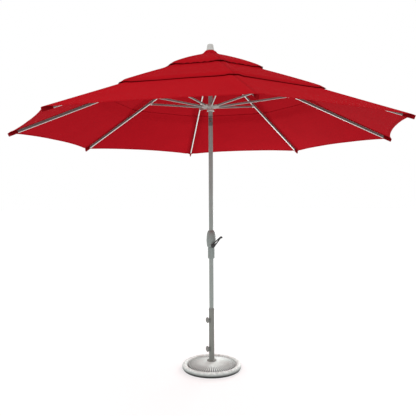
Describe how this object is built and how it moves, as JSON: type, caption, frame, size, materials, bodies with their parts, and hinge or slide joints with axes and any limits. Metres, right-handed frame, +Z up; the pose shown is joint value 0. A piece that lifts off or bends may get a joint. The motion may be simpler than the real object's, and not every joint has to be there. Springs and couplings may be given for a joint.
{
  "type": "patio umbrella with base",
  "caption": "Octagonal market umbrella with a double wind vent, crank lift and tilting pole, standing in a round weighted base with a clamping stem.",
  "frame": {"origin": "centre of the underside of the base pad, on the ground, under the pole's axis", "axes": "+Z up along the pole, -Y towards the crank handle, -X towards the two stem knobs"},
  "size_m": [3.0852, 3.0852, 2.6118],
  "materials": {
    "rubber_pad": "matt",
    "base_paint": "satin",
    "frame_paint": "powder coated, satin",
    "plate_paint": "satin",
    "black_plastic": "matt",
    "dark_plastic": "satin",
    "grey_plastic": "satin",
    "pale_plastic": "satin",
    "fabric": "woven",
    "steel": "brushed"
  },
  "bodies": {
    "base": {"base_pad": "rubber_pad", "base_body": "base_paint", "base_plate": "plate_paint", "stem": "frame_paint", "stem_cap": "grey_plastic"},
    "knob_upper": {"knob_upper": "grey_plastic"},
    "knob_lower": {"knob_lower": "grey_plastic"},
    "pole": {"foot_plug": "black_plastic", "lower_pole": "frame_paint", "knuckle_lower": "dark_plastic", "tilt_pin": "steel", "housing_front": "grey_plastic", "housing_back": "grey_plastic"},
    "crank": {"crank_shaft": "steel", "crank_handle": "black_plastic"},
    "collar": {"tilt_collar": "grey_plastic"},
    "mast": {"knuckle_upper": "dark_plastic", "upper_pole": "frame_paint", "top_hub": "dark_plastic", "finial": "pale_plastic", "canopy_top": "fabric"},
    "runner": {"runner": "pale_plastic"},
    "rib_1": {"rib_1": "frame_paint", "canopy_main_1": "fabric", "canopy_mid_1": "fabric"},
    "strut_1": {"strut_1": "frame_paint"},
    "rib_2": {"rib_2": "frame_paint", "canopy_main_2": "fabric", "canopy_mid_2": "fabric"},
    "strut_2": {"strut_2": "frame_paint"},
    "rib_3": {"rib_3": "frame_paint", "canopy_main_3": "fabric", "canopy_mid_3": "fabric"},
    "strut_3": {"strut_3": "frame_paint"},
    "rib_4": {"rib_4": "frame_paint", "canopy_main_4": "fabric", "canopy_mid_4": "fabric"},
    "strut_4": {"strut_4": "frame_paint"},
    "rib_5": {"rib_5": "frame_paint", "canopy_main_5": "fabric", "canopy_mid_5": "fabric"},
    "strut_5": {"strut_5": "frame_paint"},
    "rib_6": {"rib_6": "frame_paint", "canopy_main_6": "fabric", "canopy_mid_6": "fabric"},
    "strut_6": {"strut_6": "frame_paint"},
    "rib_7": {"rib_7": "frame_paint", "canopy_main_7": "fabric", "canopy_mid_7": "fabric"},
    "strut_7": {"strut_7": "frame_paint"},
    "rib_8": {"rib_8": "frame_paint", "canopy_main_8": "fabric", "canopy_mid_8": "fabric"},
    "strut_8": {"strut_8": "frame_paint"}
  },
  "joints": [
    {"name": "pole_lift", "type": "slide", "parent": "base", "child": "pole", "axis": [0, 0, 1], "range_m": [0, 0.44]},
    {"name": "knob_upper_turn", "type": "hinge", "parent": "base", "child": "knob_upper", "pos_m": [-0.03464, -0.02, 0.396], "axis": [-0.866, -0.5, 0], "continuous": true},
    {"name": "knob_lower_turn", "type": "hinge", "parent": "base", "child": "knob_lower", "pos_m": [-0.03464, -0.02, 0.162], "axis": [-0.866, -0.5, 0], "continuous": true},
    {"name": "fold", "type": "slide", "parent": "mast", "child": "runner", "axis": [0, 0, 1], "range_m": [-0.8782, 0], "deforming": ["canopy_top"]},
    {"name": "tilt", "type": "hinge", "parent": "pole", "child": "mast", "pos_m": [0, 0, 2.01], "axis": [-1, 0, 0], "range_deg": [0, 35]},
    {"name": "collar_turn", "type": "hinge", "parent": "pole", "child": "collar", "pos_m": [0, 0, 0.938], "axis": [0, 0, 1], "range_deg": [0, 91]},
    {"name": "crank_turn", "type": "hinge", "parent": "pole", "child": "crank", "pos_m": [0.01247, -0.05869, 1], "axis": [-0.2079, 0.9781, 0], "continuous": true},
    {"name": "rib_1_hinge", "type": "hinge", "parent": "mast", "child": "rib_1", "pos_m": [0.00774, -0.05142, 2.48], "axis": [0.9889, 0.1488, 0], "range_deg": [0, 62.92], "deforming": ["canopy_main_1", "canopy_mid_1"]},
    {"name": "strut_1_hinge", "type": "hinge", "parent": "rib_1", "child": "strut_1", "pos_m": [0.09613, -0.63867, 2.21501], "axis": [0.9889, 0.1488, 0], "range_deg": [-141.42, 0]},
    {"name": "rib_2_hinge", "type": "hinge", "parent": "mast", "child": "rib_2", "pos_m": [0.04183, -0.03089, 2.48], "axis": [0.594, 0.8045, 0], "range_deg": [0, 62.92], "deforming": ["canopy_main_2", "canopy_mid_2"]},
    {"name": "strut_2_hinge", "type": "hinge", "parent": "rib_2", "child": "strut_2", "pos_m": [0.51959, -0.38363, 2.21501], "axis": [0.594, 0.8045, 0], "range_deg": [-141.42, 0]},
    {"name": "rib_3_hinge", "type": "hinge", "parent": "mast", "child": "rib_3", "pos_m": [0.05142, 0.00774, 2.48], "axis": [-0.1488, 0.9889, 0], "range_deg": [0, 62.92], "deforming": ["canopy_main_3", "canopy_mid_3"]},
    {"name": "strut_3_hinge", "type": "hinge", "parent": "rib_3", "child": "strut_3", "pos_m": [0.63867, 0.09613, 2.21501], "axis": [-0.1488, 0.9889, 0], "range_deg": [-141.42, 0]},
    {"name": "rib_4_hinge", "type": "hinge", "parent": "mast", "child": "rib_4", "pos_m": [0.03089, 0.04183, 2.48], "axis": [-0.8045, 0.594, 0], "range_deg": [0, 62.92], "deforming": ["canopy_main_4", "canopy_mid_4"]},
    {"name": "strut_4_hinge", "type": "hinge", "parent": "rib_4", "child": "strut_4", "pos_m": [0.38363, 0.51959, 2.21501], "axis": [-0.8045, 0.594, 0], "range_deg": [-141.42, 0]},
    {"name": "rib_5_hinge", "type": "hinge", "parent": "mast", "child": "rib_5", "pos_m": [-0.00774, 0.05142, 2.48], "axis": [-0.9889, -0.1488, 0], "range_deg": [0, 62.92], "deforming": ["canopy_main_5", "canopy_mid_5"]},
    {"name": "strut_5_hinge", "type": "hinge", "parent": "rib_5", "child": "strut_5", "pos_m": [-0.09613, 0.63867, 2.21501], "axis": [-0.9889, -0.1488, 0], "range_deg": [-141.42, 0]},
    {"name": "rib_6_hinge", "type": "hinge", "parent": "mast", "child": "rib_6", "pos_m": [-0.04183, 0.03089, 2.48], "axis": [-0.594, -0.8045, 0], "range_deg": [0, 62.92], "deforming": ["canopy_main_6", "canopy_mid_6"]},
    {"name": "strut_6_hinge", "type": "hinge", "parent": "rib_6", "child": "strut_6", "pos_m": [-0.51959, 0.38363, 2.21501], "axis": [-0.594, -0.8045, 0], "range_deg": [-141.42, 0]},
    {"name": "rib_7_hinge", "type": "hinge", "parent": "mast", "child": "rib_7", "pos_m": [-0.05142, -0.00774, 2.48], "axis": [0.1488, -0.9889, 0], "range_deg": [0, 62.92], "deforming": ["canopy_main_7", "canopy_mid_7"]},
    {"name": "strut_7_hinge", "type": "hinge", "parent": "rib_7", "child": "strut_7", "pos_m": [-0.63867, -0.09613, 2.21501], "axis": [0.1488, -0.9889, 0], "range_deg": [-141.42, 0]},
    {"name": "rib_8_hinge", "type": "hinge", "parent": "mast", "child": "rib_8", "pos_m": [-0.03089, -0.04183, 2.48], "axis": [0.8045, -0.594, 0], "range_deg": [0, 62.92], "deforming": ["canopy_main_8", "canopy_mid_8"]},
    {"name": "strut_8_hinge", "type": "hinge", "parent": "rib_8", "child": "strut_8", "pos_m": [-0.38363, -0.51959, 2.21501], "axis": [0.8045, -0.594, 0], "range_deg": [-141.42, 0]}
  ],
  "couplings": [
    {"joint": "collar_turn", "follows": "tilt", "ratio": 2.5714},
    {"joint": "crank_turn", "follows": "fold", "rad_per_m": 95.24},
    {"joint": "rib_1_hinge", "follows": "fold", "rad_per_m": -1.2464},
    {"joint": "strut_1_hinge", "follows": "fold", "rad_per_m": 2.8065},
    {"joint": "rib_2_hinge", "follows": "fold", "rad_per_m": -1.2464},
    {"joint": "strut_2_hinge", "follows": "fold", "rad_per_m": 2.8065},
    {"joint": "rib_3_hinge", "follows": "fold", "rad_per_m": -1.2464},
    {"joint": "strut_3_hinge", "follows": "fold", "rad_per_m": 2.8065},
    {"joint": "rib_4_hinge", "follows": "fold", "rad_per_m": -1.2464},
    {"joint": "strut_4_hinge", "follows": "fold", "rad_per_m": 2.8065},
    {"joint": "rib_5_hinge", "follows": "fold", "rad_per_m": -1.2464},
    {"joint": "strut_5_hinge", "follows": "fold", "rad_per_m": 2.8065},
    {"joint": "rib_6_hinge", "follows": "fold", "rad_per_m": -1.2464},
    {"joint": "strut_6_hinge", "follows": "fold", "rad_per_m": 2.8065},
    {"joint": "rib_7_hinge", "follows": "fold", "rad_per_m": -1.2464},
    {"joint": "strut_7_hinge", "follows": "fold", "rad_per_m": 2.8065},
    {"joint": "rib_8_hinge", "follows": "fold", "rad_per_m": -1.2464},
    {"joint": "strut_8_hinge", "follows": "fold", "rad_per_m": 2.8065}
  ]
}
